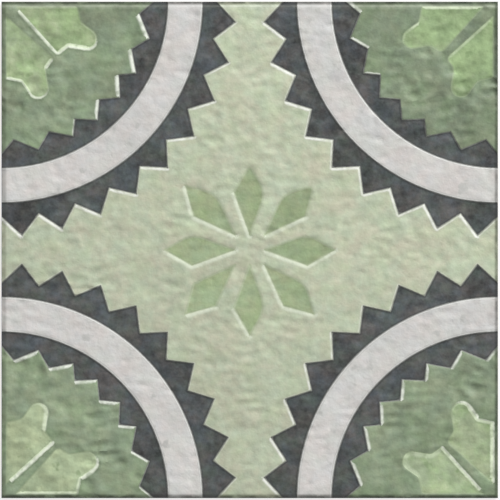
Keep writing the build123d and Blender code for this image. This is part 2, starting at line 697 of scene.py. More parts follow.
    def fields(self, corner: Corner) -> list[GlazeField]:
        """Fields of one quarter of the face, each lying over the ones before it.

        Args:
            corner: Corner of the tile.

        Returns:
            The fields in order.
        """
        centre = self.half_side * np.array(corner)
        rim = (0.0, self.ring_line, 1.0)
        return [
            *[GlazeField(Glaze.PETAL, petal) for petal in self.petal_outlines()],
            GlazeField(Glaze.BAND, self.outer_teeth_outline(corner)),
            GlazeField(Glaze.RING, RingOutline(centre, self.ring_outer_radius, -1, rim)),
            GlazeField(Glaze.BAND, RingOutline(centre, self.ring_inner_radius, 1, rim)),
            GlazeField(Glaze.FIELD, self.inner_teeth_outline(corner)),
            *[GlazeField(Glaze.LEAF, leaf) for leaf in self.leaf_outlines(corner)],
        ]

    def outlines(self) -> list[Outline | RingOutline]:
        """All outlines of the face."""
        rows = [row for corner in CORNERS for row in self.fields(corner)]
        return self.petal_outlines() + [row.outline for row in rows if row.glaze != Glaze.PETAL]

    def quarter(self, at: Array, corner: Corner) -> Array:
        """Numbers of the points that lie in the quarter of the face at one corner."""
        return np.flatnonzero(((at >= 0.0) == (np.array(corner) > 0)).all(1))

    def glaze_at(self, at: Array) -> Array:
        """Glaze under each point of the face.

        Args:
            at: Points in plan, one row each.

        Returns:
            The number of the glaze at each point.
        """
        glaze = np.full(len(at), int(Glaze.GROUND))
        for corner in CORNERS:
            own = self.quarter(at, corner)
            for row in self.fields(corner):
                glaze[own[row.outline.holds(at[own])]] = row.glaze
        return glaze

    def survey(self, at: Array) -> "FaceSurvey":
        """Nearest outline of each point of the face.

        Args:
            at: Points in plan, one row each.

        Returns:
            What the pattern says about the points.
        """
        best = np.full(len(at), np.inf)
        lines = np.zeros((len(at), 3))
        reach = np.zeros((len(at), 2))
        by_band = np.zeros(len(at))
        for corner in CORNERS:
            own = self.quarter(at, corner)
            for row in self.fields(corner):
                gap, line, wall = row.outline.survey(at[own])
                closer = gap < best[own]
                best[own[closer]] = gap[closer]
                lines[own[closer]] = line[closer]
                reach[own[closer]] = wall[closer]
                by_band[own[closer]] = row.glaze not in (Glaze.PETAL, Glaze.LEAF)
        return FaceSurvey(best, lines, reach, by_band, self.glaze_at(at))


@dataclass(frozen=True)
class FaceSurvey:
    """What the pattern says about points of the face.

    Attributes:
        gap: Distance to the nearest outline.
        lines: Pale line there: width within the sunk field, width outside it and strength, one row each.
        reach: Reaches of the wall there, into the sunk field and out of it, one row each.
        by_band: 1 where that outline borders a toothed band, 0 elsewhere.
        glaze: Glaze under the point.
    """

    gap: Array
    lines: Array
    reach: Array
    by_band: Array
    glaze: Array

    @property
    def sunk(self) -> Array:
        """Whether each point is in a sunk field."""
        return np.isin(self.glaze, SUNK_GLAZES)

    def clear_of_walls(self, clearance: float) -> Array:
        """Whether each point is further than a clearance from the wall beside it."""
        return self.gap > np.where(self.sunk, self.reach[:, 0], self.reach[:, 1]) + clearance

    def wall_share(self) -> Array:
        """Height of the relief at each point, from 0 on a sunk floor to 1 at the level of the face."""
        return smooth_step(-self.reach[:, 0], self.reach[:, 1], np.where(self.sunk, -self.gap, self.gap))


class PlanSketch:
    """Lines and loose points in plan that a surface is triangulated from."""

    def __init__(self, reach: float) -> None:
        """Start an empty sketch that leaves off points further out than its reach on either axis.

        Args:
            reach: Greatest distance from the middle.
        """
        self.reach = reach
        self.points: list[Array] = []
        self.edges: list[Array] = []
        self.count = 0

    def scatter(self, points: Array) -> Array:
        """Add loose points and give the numbers of those kept, with -1 for the rest.

        Args:
            points: Points in plan, one row each.

        Returns:
            The number of each point in the sketch, -1 where it was left off.
        """
        kept = np.abs(points).max(1) < self.reach
        numbers = np.where(kept, self.count + np.cumsum(kept) - 1, -1)
        self.points.append(points[kept])
        self.count += int(kept.sum())
        return numbers

    def loop(self, points: Array) -> Array:
        """Add a closed line through points and give their numbers.

        Args:
            points: Points in order, one row each.

        Returns:
            The number of each point in the sketch, -1 where it was left off.
        """
        starts = self.scatter(points)
        ends = np.roll(starts, -1)
        whole = (starts >= 0) & (ends >= 0)
        self.edges.append(np.stack([starts[whole], ends[whole]], axis=1))
        return starts

    def triangulate(self) -> tuple[Array, Array, Array]:
        """Triangles over all points that keep to the lines.

        Returns:
            The points, the triangles as rows of point numbers running anticlockwise, and the new
            number of each point of the sketch.
        """
        points = [Vector(point) for point in np.vstack(self.points)]
        edges = np.vstack(self.edges).tolist()
        found = delaunay_2d_cdt(points, edges, [], 0, JOINED_WITHIN, True)
        plan = np.array([tuple(point) for point in found[0]])
        triangles = np.array(found[2])
        renumbered = np.full(self.count, -1)
        for new, olds in enumerate(found[3]):
            renumbered[olds] = new
        first, second, third = (plan[triangles[:, side]] for side in range(3))
        ahead, aside = second - first, third - first
        clockwise = ahead[:, 0] * aside[:, 1] - ahead[:, 1] * aside[:, 0] < 0.0
        triangles[clockwise] = triangles[clockwise][:, ::-1]
        return plan, triangles, renumbered


@dataclass(frozen=True)
class Swell:
    """Soft unevenness of a surface, as a sum of level waves in all directions.

    Attributes:
        length: Middle wavelength.
        height: Root mean square height.
        creased: Whether the waves fold up into thin ridges.
        waves: Number of waves.
        spread: Shortest and longest wave, in shares of the middle wavelength.
    """

    length: float
    height: float
    creased: bool = False
    waves: int = 48
    spread: tuple[float, float] = (0.7, 1.45)

    def at(self, points: Array, rng: np.random.Generator) -> Array:
        """Height of the swell at each point.

        Args:
            points: Points in plan, one row each.
            rng: Source of the waves.

        Returns:
            The heights in millimetres.
        """
        angles = rng.uniform(0.0, FULL_TURN, self.waves)
        lengths = self.length * rng.uniform(*self.spread, self.waves)
        phases = rng.uniform(0.0, FULL_TURN, self.waves)
        pull = FULL_TURN / lengths * np.stack([np.cos(angles), np.sin(angles)])
        level = math.sqrt(2.0 / self.waves) * np.cos(points / STRETCH @ pull + phases).sum(1)
        if self.creased:
            level = (FOLD_MIDDLE - np.abs(level)) / FOLD_SPREAD
        return self.height * level


@dataclass(frozen=True)
class Lumps:
    """Scattered soft bumps or hollows left in the face by the press.

    Attributes:
        count: Number of lumps.
        radius: Least and greatest radius.
        height: Least and greatest height, below zero for hollows.
        extent: How far out a lump is worked out, in radii.
    """

    count: int
    radius: tuple[float, float]
    height: tuple[float, float]
    extent: float = 2.6

    def at(self, points: Array, half_side: float, rng: np.random.Generator) -> Array:
        """Height of the lumps at each point.

        Args:
            points: Points in plan, one row each.
            half_side: Half the side of the tile.
            rng: Source of the lumps.

        Returns:
            The heights in millimetres.
        """
        order = np.argsort(points[:, 0])
        across = points[order, 0]
        height = np.zeros(len(points))
        for _ in range(self.count):
            centre = rng.uniform(-half_side, half_side, 2)
            radii = STRETCH * rng.uniform(*self.radius, 2)
            rise = rng.uniform(*self.height)
            reach = self.extent * radii
            first, last = np.searchsorted(across, (centre[0] - reach[0], centre[0] + reach[0]))
            near = order[first:last]
            near = near[np.abs(points[near, 1] - centre[1]) < reach[1]]
            height[near] += rise * np.exp(-(((points[near] - centre) / radii) ** 2).sum(1))
        return height


@dataclass(frozen=True)
class EdgeTint:
    """How the glaze's colour changes towards one side of the tile, partly as painted shade and painted
    highlight, in millimetres and shares.

    Attributes:
        side: Direction of the side from the middle.
        line: Strength of the dark line over the arris, partly painted shade.
        line_inset: Distance of the line's middle from the edge.
        line_width: Half width of the line.
        fade: Strength of the soft shade inside the line.
        fade_width: Width of that shade.
        strip: Strength of the pale strip inside the line, a painted highlight.
        strip_inset: Distance of the strip's middle from the edge.
        strip_width: Half width of the strip.
    """

    side: Corner
    line: float
    line_inset: float
    line_width: float
    fade: float = 0.0
    fade_width: float = 2.0
    strip: float = 0.0
    strip_inset: float = 2.7
    strip_width: float = 0.75

    def inset(self, at: Array, half_side: float) -> Array:
        """Distance of points from this side of the tile."""
        return half_side - at @ np.array(self.side)

    def dark(self, inset: Array) -> Array:
        """Strength of the dark line and the shade at a distance from the side."""
        line = self.line * np.exp(-(((inset - self.line_inset) / self.line_width) ** 4))
        return line + self.fade * np.exp(-inset / self.fade_width)

    def pale(self, inset: Array) -> Array:
        """Strength of the pale strip at a distance from the side."""
        return self.strip * np.exp(-(((inset - self.strip_inset) / self.strip_width) ** 2))


@dataclass
class TileBody:
    """The pressed and fired tile: one closed mesh with a glazed face, clay sides and a keyed back.

    Sizes are in millimetres. Lines beside the outlines of the pattern and inside the edge of the tile
    carry the walls of the relief and the round of the arris.

    Attributes:
        arris_lines: Distances from the edge of the tile of the lines that run along it.
        wall_shares: Lines of a wall, from its foot at -1 to its top at 1.
        overhang: How far outside the tile the outlines are still followed.
        fill_clearance: Room between the loose points and the lines.
        patches: Slow change of the unevenness over the face, as a logarithm.
        swell_room: How far the face lies under the full thickness, to leave its rises room.
        swell_ease: Distance from an outline over which a glaze takes on its own unevenness.
        line_reach: Distance from an outline within which its pale line is stored.
        side_tint: Strength of the edge's colour where the glaze ends on the sides.
        just_inside: How far in from the edge the glaze of the sides is looked up.
        glaze_edge: Height at which the glaze ends on the sides.
        glaze_edge_room: Least room above and below that end.
        keys_per_half: Pockets of the back on either side of its middle.
        sharp_angle: Angle in degrees from which an edge stays sharp.
    """

    pattern: FacePattern
    thickness: float = 8.0
    arris_radius: float = 1.5
    arris_lines: tuple[float, ...] = (0.0, 0.12, 0.4, 0.85, 1.5, 2.1, 2.7, 3.4)
    relief_depth: float = 0.5
    wall_shares: tuple[float, ...] = (-1.0, -0.5, 0.0, 0.5, 1.0)
    line_step: float = 1.0
    overhang: float = 1.5
    fill_step: float = 1.5
    fill_clearance: float = 0.55
    fill_jitter: float = 0.3
    swells: tuple[Swell, ...] = (Swell(32.0, 0.085), Swell(14.0, 0.115, creased=True), Swell(7.5, 0.035))
    pebbles: Lumps = Lumps(7000, (1.0, 2.6), (-0.095, 0.095))
    dents: Lumps = Lumps(600, (1.1, 3.0), (-0.52, -0.1))
    patches: Swell = Swell(75.0, 0.4)
    swell_room: float = 0.36
    swell_ease: float = 2.5
    line_reach: float = 3.5
    # Dark lines over the arris, partly painted shade, with soft painted shade inside them, and at the top a
    # painted highlight strip where the arris faces the lamp.
    edge_tints: tuple[EdgeTint, ...] = (
        EdgeTint((0, 1), line=0.93, line_inset=0.15, line_width=1.45, strip=0.95),
        EdgeTint((1, 0), line=0.72, line_inset=0.7, line_width=1.3, fade=0.05),
        EdgeTint((0, -1), line=0.7, line_inset=0.9, line_width=1.4, fade=0.28, fade_width=2.4),
        EdgeTint((-1, 0), line=0.42, line_inset=1.6, line_width=1.25, fade=0.1),
    )
    side_tint: float = 0.5
    just_inside: float = 0.5
    glaze_edge: float = 5.6
    glaze_edge_room: float = 0.2
    glaze_edge_swell: Swell = Swell(16.0, 0.28)
    side_levels: tuple[float, ...] = (4.6, 3.4, 2.2, 1.0)
    side_swell: Swell = Swell(22.0, 0.012)
    back_chamfer: float = 1.0
    key_pitch: float = 24.0
    key_rib_width: float = 4.0
    key_depth: float = 0.8
    keys_per_half: int = 6
    back_step: float = 5.0
    back_swell: Swell = Swell(19.0, 0.02)
    sharp_angle: float = 40.0

    def square(self, inset: float, step: float) -> Array:
        """Points round the tile at a distance in from its edge."""
        return Outline.drawn(self.pattern.half_side * SQUARE).moved(np.full(len(SQUARE), -inset), step)

    @property
    def key_mouth(self) -> float:
        """Half the width of a pocket of the back at its mouth."""
        return (self.key_pitch - self.key_rib_width) / 2.0

    def edge_inset(self, at: Array) -> Array:
        """Distance of points in plan from the edge of the tile."""
        return self.pattern.half_side - np.abs(at).max(1)

    def fill_points(self, rng: np.random.Generator) -> Array:
        """Loose points of the face, in staggered rows clear of all lines.

        Args:
            rng: Source of the jitter.

        Returns:
            The points, one row each.
        """
        half = self.pattern.half_side
        row_step = self.fill_step * math.sqrt(3.0) / 2.0
        rows = []
        for number, level in enumerate(np.arange(-half, half, row_step)):
            along = np.arange(-half + self.fill_step * (number % 2) / 2.0, half, self.fill_step)
            rows.append(np.stack([along, np.full(len(along), level)], axis=1))
        points = np.vstack(rows)
        points += rng.uniform(-self.fill_jitter, self.fill_jitter, points.shape)
        clear = self.pattern.survey(points).clear_of_walls(self.fill_clearance)
        return points[clear & (self.edge_inset(points) > self.arris_lines[-1] + self.fill_clearance)]

    def face_plan(self, rng: np.random.Generator) -> tuple[Array, Array]:
        """Points and triangles of the face in plan.

        Args:
            rng: Source of the jitter.

        Returns:
            The points, and the triangles as rows of point numbers.
        """
        sketch = PlanSketch(self.pattern.half_side + self.overhang)
        for inset in self.arris_lines:
            sketch.loop(self.square(inset, self.line_step))
        for outline in self.pattern.outlines():
            for share in self.wall_shares:
                sketch.loop(outline.wall_line(share, self.line_step))
        sketch.scatter(self.fill_points(rng))
        plan, triangles, _ = sketch.triangulate()
        centres = plan[triangles].mean(1)
        triangles = triangles[self.edge_inset(centres) > 0.0]
        used, numbers = np.unique(triangles, return_inverse=True)
        return plan[used], numbers.reshape(triangles.shape)

    def face_heights(self, plan: Array, survey: FaceSurvey, rng: np.random.Generator) -> Array:
        """Heights of the face: the relief, the unevenness of the press and the round arris.

        Args:
            plan: Points of the face.
            survey: What the pattern says about them.
            rng: Source of the unevenness.

        Returns:
            The height of each point above the bed.
        """
        uneven = sum(swell.at(plan, rng) for swell in self.swells)
        uneven += self.pebbles.at(plan, self.pattern.half_side, rng)
        uneven *= np.exp(self.patches.at(plan, rng))
        own_share = np.array([UNEVENNESS[glaze] for glaze in Glaze])[survey.glaze]
        uneven *= 1.0 + (own_share - 1.0) * smooth_step(0.0, self.swell_ease, survey.gap)
        uneven += self.dents.at(plan, self.pattern.half_side, rng)
        raised = self.swell_room * np.tanh(uneven / self.swell_room)
        level = self.thickness - self.swell_room + np.where(uneven > 0.0, raised, uneven)
        level -= self.relief_depth * (1.0 - survey.wall_share())
        inset = np.clip(self.edge_inset(plan), 0.0, self.arris_radius)
        rise = np.sqrt(self.arris_radius**2 - (self.arris_radius - inset) ** 2)
        return np.minimum(level, self.thickness - self.arris_radius + rise)

    def side_rows(self, loop: Array, rng: np.random.Generator) -> Array:
        """Rows of points down the sides, from the edge of the glaze to the foot of the chamfer.

        Args:
            loop: Points round the edge of the face in plan.
            rng: Source of the unevenness.

        Returns:
            The points in space, one layer for each row.
        """
        half = self.pattern.half_side
        rows = []
        edge = self.glaze_edge + self.glaze_edge_swell.at(loop, rng)
        lowest = self.side_levels[0] + self.glaze_edge_room
        highest = self.thickness - self.arris_radius - self.glaze_edge_room
        levels = [np.clip(edge, lowest, highest)]
        levels += [np.full(len(loop), level) for level in self.side_levels]
        for level in levels:
            inwards = np.abs(self.side_swell.at(loop, rng))
            rows.append(np.column_stack([loop * (1.0 - inwards / half)[:, None], level]))
        foot = loop * (1.0 - self.back_chamfer / half)
        rows.append(np.column_stack([foot, np.zeros(len(loop))]))
        return np.stack(rows)

    def back_plan(self, foot: Array) -> tuple[Array, Array, Array]:
        """Points and triangles of the keyed back inside the foot of the chamfer.

        Args:
            foot: Points round the foot of the chamfer in plan.

        Returns:
            The points, the triangles, and the numbers of the foot's points among them.
        """
        sketch = PlanSketch(self.pattern.half_side)
        numbers = sketch.loop(foot)
        centres = self.key_pitch * (np.arange(-self.keys_per_half, self.keys_per_half) + 0.5)
        for x in centres:
            for y in centres:
                for reach in (self.key_mouth, self.key_mouth - self.key_depth):
                    pocket = Outline.drawn(SQUARE * reach)
                    sketch.loop(pocket.moved(np.zeros(len(SQUARE)), self.back_step) + (x, y))
                sketch.scatter(np.array([(x, y)]) + SQUARE * self.key_mouth / 3.0)
        plan, triangles, renumbered = sketch.triangulate()
        return plan, triangles, renumbered[numbers]

    def back_heights(self, plan: Array, rng: np.random.Generator) -> Array:
        """Heights of the back: ribs on the bed and shallow drafted pockets between them.

        Args:
            plan: Points of the back.
            rng: Source of the unevenness.

        Returns:
            The height of each point above the bed.
        """
        within = np.abs(plan).max(1) < self.key_pitch * self.keys_per_half
        offset = (plan / self.key_pitch) % 1.0 - 0.5
        depth = np.clip(self.key_mouth - self.key_pitch * np.abs(offset).max(1), 0.0, self.key_depth)
        uneven = np.abs(self.back_swell.at(plan, rng))
        return np.where(within, depth + uneven * depth / self.key_depth, 0.0)

    def build(self) -> bpy.types.Object:
        """Mesh of the whole tile, with its glazes as face materials and its line widths as attributes.

        Returns:
            The tile, not yet dressed or linked.
        """
        rng = np.random.default_rng(SEED)
        plan, face = self.face_plan(rng)
        survey = self.pattern.survey(plan)
        top = np.column_stack([plan, self.face_heights(plan, survey, rng)])
        rim = np.flatnonzero(self.edge_inset(plan) < ON_EDGE)
        rim = rim[np.argsort(np.arctan2(plan[rim, 1], plan[rim, 0]))]
        rows = self.side_rows(plan[rim], rng)
        back, back_faces, foot = self.back_plan(rows[-1][:, :2])
        body = MeshParts()
        body.add(top, face, self.pattern.glaze_at(plan[face].mean(1)))
        above = rim
        wall_glaze = self.pattern.glaze_at(plan[rim] * (1.0 - self.just_inside / self.pattern.half_side))
        for number, row in enumerate(rows[:-1]):
            below = body.points(row)
            body.strip(above, below, wall_glaze if number == 0 else np.full(len(rim), int(Glaze.CLAY)))
            above = below
        under = np.column_stack([back, self.back_heights(back, rng)])
        start = body.points(under)
        body.strip(above, start[foot], np.full(len(rim), int(Glaze.CLAY)))
        body.faces(start[back_faces[:, ::-1]], np.full(len(back_faces), int(Glaze.CLAY)))
        mesh = body.mesh(PIECE)
        self.mark_lines(mesh, plan, face, survey)
        mesh.set_sharp_from_angle(angle=math.radians(self.sharp_angle))
        return bpy.data.objects.new(PIECE, mesh)

    def mark_lines(self, mesh: bpy.types.Mesh, plan: Array, face: Array, survey: FaceSurvey) -> None:
        """Store what the glazes need to know about the outlines and the edge of the tile.

        Args:
            mesh: Mesh of the tile, whose first points and triangles are those of the face.
            plan: Points of the face in plan.
            face: Triangles of the face.
            survey: What the pattern says about the points.
        """
        count, total = len(plan), len(mesh.vertices)
        rim = np.full(total, FAR)
        rim[:count] = survey.gap
        by_band = np.zeros(total)
        by_band[:count] = survey.by_band
        dark = np.full(total, self.side_tint)
        dark[:count] = 0.0
        pale = np.zeros(total)
        # edge_dark: dark line over the arris and soft shade inside it, partly painted shade; edge_pale:
        # painted highlight strip.
        for tint in self.edge_tints:
            inset = tint.inset(plan, self.pattern.half_side)
            dark[:count] = np.maximum(dark[:count], tint.dark(inset))
            pale[:count] = np.maximum(pale[:count], tint.pale(inset))
        marks = {"rim": rim, "by_band": by_band, "edge_dark": dark, "edge_pale": pale}
        store_values(mesh, "POINT", marks)
        width, strength = np.zeros(len(mesh.loops)), np.zeros(len(mesh.loops))
        beside = np.flatnonzero(survey.gap[face].min(1) < self.line_reach)
        corners = plan[face[beside]]
        pulled_in = corners + CORNER_PULL * (corners.mean(1, keepdims=True) - corners)
        pulled = self.pattern.survey(pulled_in.reshape(-1, 2))
        spots = (3 * beside[:, None] + np.arange(3)).ravel()
        width[spots] = np.where(pulled.sunk, pulled.lines[:, 0], pulled.lines[:, 1])
        strength[spots] = pulled.lines[:, 2]
        store_values(mesh, "CORNER", {"line": width, "line_strength": strength})


def store_values(mesh: bpy.types.Mesh, domain: str, marks: dict[str, Array]) -> None:
    """Store named values on the points or the face corners of a mesh.

    Args:
        mesh: Mesh to mark.
        domain: POINT or CORNER.
        marks: Values by name.
    """
    for name, values in marks.items():
        stored = mesh.attributes.new(name, "FLOAT", domain)
        stored.data.foreach_set("value", values.astype(np.float32))


class MeshParts:
    """Points and triangles of a mesh, gathered part by part, with a material for each triangle."""

    def __init__(self) -> None:
        """Start with nothing."""
        self.coordinates: list[Array] = []
        self.triangles: list[Array] = []
        self.materials: list[Array] = []
        self.count = 0

    def points(self, coordinates: Array) -> Array:
        """Add points in millimetres and give their numbers.

        Args:
            coordinates: Points in space, one row each.

        Returns:
            Their numbers.
        """
        self.coordinates.append(coordinates)
        self.count += len(coordinates)
        return np.arange(self.count - len(coordinates), self.count)

    def faces(self, triangles: Array, materials: Array) -> None:
        """Add triangles between points that are already there."""
        self.triangles.append(triangles)
        self.materials.append(materials)

    def add(self, coordinates: Array, triangles: Array, materials: Array) -> None:
        """Add a part with points of its own."""
        self.faces(self.points(coordinates)[triangles], materials)

    def strip(self, above: Array, below: Array, materials: Array) -> None:
        """Close the band between two loops of points that run anticlockwise seen from above.

        Args:
            above: Numbers of the points of the upper loop.
            below: Numbers of those below them.
            materials: Material of each step along the band.
        """
        next_above, next_below = np.roll(above, -1), np.roll(below, -1)
        self.faces(np.stack([above, below, next_below], axis=1), materials)
        self.faces(np.stack([above, next_below, next_above], axis=1), materials)

    def mesh(self, name: str) -> bpy.types.Mesh:
        """The gathered parts as one smooth-shaded mesh in metres.

        Args:
            name: Name of the mesh.

        Returns:
            The mesh.
        """
        coordinates = np.vstack(self.coordinates) * MM
        triangles = np.vstack(self.triangles)
        mesh = bpy.data.meshes.new(name)
        mesh.vertices.add(len(coordinates))
        mesh.vertices.foreach_set("co", coordinates.ravel())
        mesh.loops.add(triangles.size)
        mesh.loops.foreach_set("vertex_index", triangles.ravel())
        mesh.polygons.add(len(triangles))
        mesh.polygons.foreach_set("loop_start", np.arange(0, triangles.size, 3))
        mesh.polygons.foreach_set("material_index", np.concatenate(self.materials))
        mesh.update(calc_edges=True)
        mesh.shade_smooth()
        return mesh


@dataclass(frozen=True)
class Tone:
    """Colour as it shows on a screen, in steps from 0 to 255."""

    red: float
    green: float
    blue: float

    @property
    def linear(self) -> tuple[float, float, float, float]:
        """The colour in linear light by the sRGB curve, with full alpha.

        Returns:
            Red, green, blue and alpha.
        """
        channels = [step / 255.0 for step in (self.red, self.green, self.blue)]
        low = [value / 12.92 for value in channels]
        high = [((value + 0.055) / 1.055) ** 2.4 for value in channels]
        red, green, blue = (h if v > 0.04045 else l for v, l, h in zip(channels, low, high))
        return red, green, blue, 1.0


@dataclass(frozen=True)
class Cloud:
    """Cloudy noise over a surface: clouds in a metre, number of finer layers and their strength."""

    scale: float
    layers: float = 2.0
    strength: float = 0.5


class NodeSheet:
    """Node tree of a material or a group, with short calls that add nodes and join them."""

    def __init__(self, tree: bpy.types.NodeTree) -> None:
        """Keep the tree that the nodes go into."""
        self.tree = tree

    def add(self, kind: str, **settings: object) -> bpy.types.Node:
        """New node of a kind, with its own settings.

        Args:
            kind: Type of the node.
            settings: Its own settings by name.

        Returns:
            The node.
        """
        node = self.tree.nodes.new(kind)
        for name, value in settings.items():
            setattr(node, name, value)
        return node

    def feed(self, socket: Socket, value: Feed) -> None:
        """Join an input to an output, or give it a value of its own.

        Args:
            socket: Input to feed.
            value: Output of another node, or a value.
        """
        if isinstance(value, bpy.types.NodeSocket):
            self.tree.links.new(value, socket)
        else:
            socket.default_value = value

    def math(self, operation: str, *values: Feed) -> Socket:
        """Result of a sum over one, two or three values.

        Args:
            operation: Kind of sum.
            values: Values it is taken over.

        Returns:
            The result.
        """
        node = self.add("ShaderNodeMath", operation=operation)
        for socket, value in zip(node.inputs, values):
            self.feed(socket, value)
        return node.outputs[0]

    def ramp(self, value: Feed, low: float, high: float, start: Feed = 0.0, end: Feed = 1.0) -> Socket:
        """Value carried over from one range to another, held at the ends.

        Args:
            value: Value to carry over.
            low: Where the first range starts.
            high: Where the first range ends.
            start: Where the second range starts.
            end: Where the second range ends.

        Returns:
            The value in the second range.
        """
        node = self.add("ShaderNodeMapRange", interpolation_type="SMOOTHSTEP")
        for socket, given in zip(node.inputs, (value, low, high, start, end)):
            self.feed(socket, given)
        return node.outputs[0]

    def mix(self, share: Feed, first: Feed, second: Feed) -> Socket:
        """Colour between two colours.

        Args:
            share: Share of the second colour.
            first: First colour.
            second: Second colour.

        Returns:
            The colour.
        """
        node = self.add("ShaderNodeMix", data_type="RGBA")
        # In its colour form the node has its share at 0, its colours at 6 and 7 and its result at 2
        for number, value in ((0, share), (6, first), (7, second)):
            self.feed(node.inputs[number], value)
        return node.outputs[2]

    def noise(self, place: Socket, cloud: Cloud) -> Socket:
        """Cloudy value about one half at the given coordinates.

        Args:
            place: Coordinates.
            cloud: Kind of noise.

        Returns:
            The value.
        """
        node = self.add("ShaderNodeTexNoise")
        names = ("Vector", "Scale", "Detail", "Roughness")
        for name, value in zip(names, (place, cloud.scale, cloud.layers, cloud.strength)):
            self.feed(node.inputs[name], value)
        return node.outputs["Fac"]

    def shaded(self, colour: Feed, value: Feed) -> Socket:
        """Colour made lighter or darker.

        Args:
            colour: Colour to change.
            value: Factor on its brightness.

        Returns:
            The colour.
        """
        node = self.add("ShaderNodeHueSaturation")
        self.feed(node.inputs["Color"], colour)
        self.feed(node.inputs["Value"], value)
        return node.outputs["Color"]

    def shifted_place(self, shift: Feed) -> Socket:
        """Coordinates of the object, shifted along all axes.

        Args:
            shift: How far, in metres.

        Returns:
            The coordinates.
        """
        node = self.add("ShaderNodeVectorMath", operation="ADD")
        self.feed(node.inputs[0], self.add("ShaderNodeTexCoord").outputs["Object"])
        self.feed(node.inputs[1], shift if isinstance(shift, bpy.types.NodeSocket) else (shift,) * 3)
        return node.outputs[0]

    def plain_sight(self) -> Socket:
        """1 for rays that show a surface to the camera, directly or in a reflection or through glass.

        Returns:
            The value.
        """
        rays = self.add("ShaderNodeLightPath").outputs
        mirrored = self.math("MAXIMUM", rays["Is Glossy Ray"], rays["Is Transmission Ray"])
        return self.math("MAXIMUM", rays["Is Camera Ray"], mirrored)

    def attribute(self, name: str) -> Socket:
        """Value that the mesh stores under a name."""
        return self.add("ShaderNodeAttribute", attribute_name=name).outputs["Fac"]


class SharedEffect:
    """Shader node group that several finishes place with values of their own."""

    name = ""
    inputs: dict[str, float] = {}
    outputs: tuple[str, ...] = ()

    def __init__(self) -> None:
        """Build the group once."""
        self.tree = bpy.data.node_groups.new(self.name, "ShaderNodeTree")
        for name, value in self.inputs.items():
            socket = self.tree.interface.new_socket(name, in_out="INPUT", socket_type="NodeSocketFloat")
            socket.default_value = value
        for name in self.outputs:
            self.tree.interface.new_socket(name, in_out="OUTPUT", socket_type="NodeSocketFloat")
        sheet = NodeSheet(self.tree)
        given = sheet.add("NodeGroupInput").outputs
        result = sheet.add("NodeGroupOutput").inputs
        for name, value in self.drawn(sheet, given).items():
            sheet.feed(result[name], value)

    def drawn(self, sheet: NodeSheet, given: Sockets) -> dict[str, Socket]:
        """Nodes of the effect.

        Args:
            sheet: Tree of the group.
            given: Its input values by name.

        Returns:
            The value of each output by name.
        """
        raise NotImplementedError

    def place(self, sheet: NodeSheet, values: dict[str, Feed]) -> Sockets:
        """Put the group into a material and give its outputs.

        Args:
            sheet: Tree of the material.
            values: Inputs that differ from the group's own.

        Returns:
            The outputs by name.
        """
        node = sheet.add("ShaderNodeGroup", node_tree=self.tree)
        for name, value in values.items():
            sheet.feed(node.inputs[name], value)
        return node.outputs


class Mottle(SharedEffect):
    """Uneven tint and depth of a fired glaze: patches, clouds, grain and specks, and a drift over the face
    towards the lamp, which is painted light where it brightens.
    """

    name = "glaze_mottle"
    layers = {
        "Patch Depth": Cloud(28.0, 3.0, 0.55),
        "Cloud Depth": Cloud(120.0),
        "Grain Depth": Cloud(330.0, 1.0),
        "Speck Depth": Cloud(900.0, 1.0),
    }
    inputs = {"Shift": 0.0, "Drift": 0.0, "Moss Drift": 0.0, **dict.fromkeys(layers, 0.1)}
    outputs = ("Tint", "Moss", "Smudge", "Shade", "Grain")
    # Direction of the lamp in plan: a drift that brightens a glaze this way is painted light.
    drift_towards = (0.55, 0.84, 0.0)
    hue_shift = 3.7
    tint_cloud = Cloud(70.0, 4.0, 0.65)
    tint_range = (0.3, 0.7)
    smudge_cloud = Cloud(110.0, 2.0, 0.6)
    smudge_range = (0.62, 0.72)
    moss_shift = 7.9
    moss_cloud = Cloud(75.0, 4.0, 0.65)
    moss_range = (0.35, 0.75)

    def drawn(self, sheet: NodeSheet, given: Sockets) -> dict[str, Socket]:
        """Noises from broad to fine that shade the glaze, and others that tint and smudge it.

        Args:
            sheet: Tree of the group.
            given: Its input values by name.

        Returns:
            The value of each output by name.
        """
        place = sheet.shifted_place(given["Shift"])
        noises = {name: sheet.noise(place, cloud) for name, cloud in self.layers.items()}
        reach = sheet.add("ShaderNodeVectorMath", operation="DOT_PRODUCT")
        sheet.feed(reach.inputs[0], sheet.shifted_place(0.0))
        sheet.feed(reach.inputs[1], self.drift_towards)
        shade = sheet.math("MULTIPLY_ADD", reach.outputs["Value"], given["Drift"], 1.0)
        for name, noise in noises.items():
            centred = sheet.math("SUBTRACT", noise, 0.5)
            shade = sheet.math("MULTIPLY_ADD", centred, given[name], shade)
        hue_place = sheet.shifted_place(sheet.math("ADD", given["Shift"], self.hue_shift))
        moss_place = sheet.shifted_place(sheet.math("ADD", given["Shift"], self.moss_shift))
        moss = sheet.noise(moss_place, self.moss_cloud)
        moss = sheet.math("MULTIPLY_ADD", reach.outputs["Value"], given["Moss Drift"], moss)
        return {
            "Tint": sheet.ramp(sheet.noise(hue_place, self.tint_cloud), *self.tint_range),
            "Moss": sheet.ramp(moss, *self.moss_range),
            "Smudge": sheet.ramp(sheet.noise(hue_place, self.smudge_cloud), *self.smudge_range),
            "Shade": shade,
            "Grain": noises["Grain Depth"],
        }


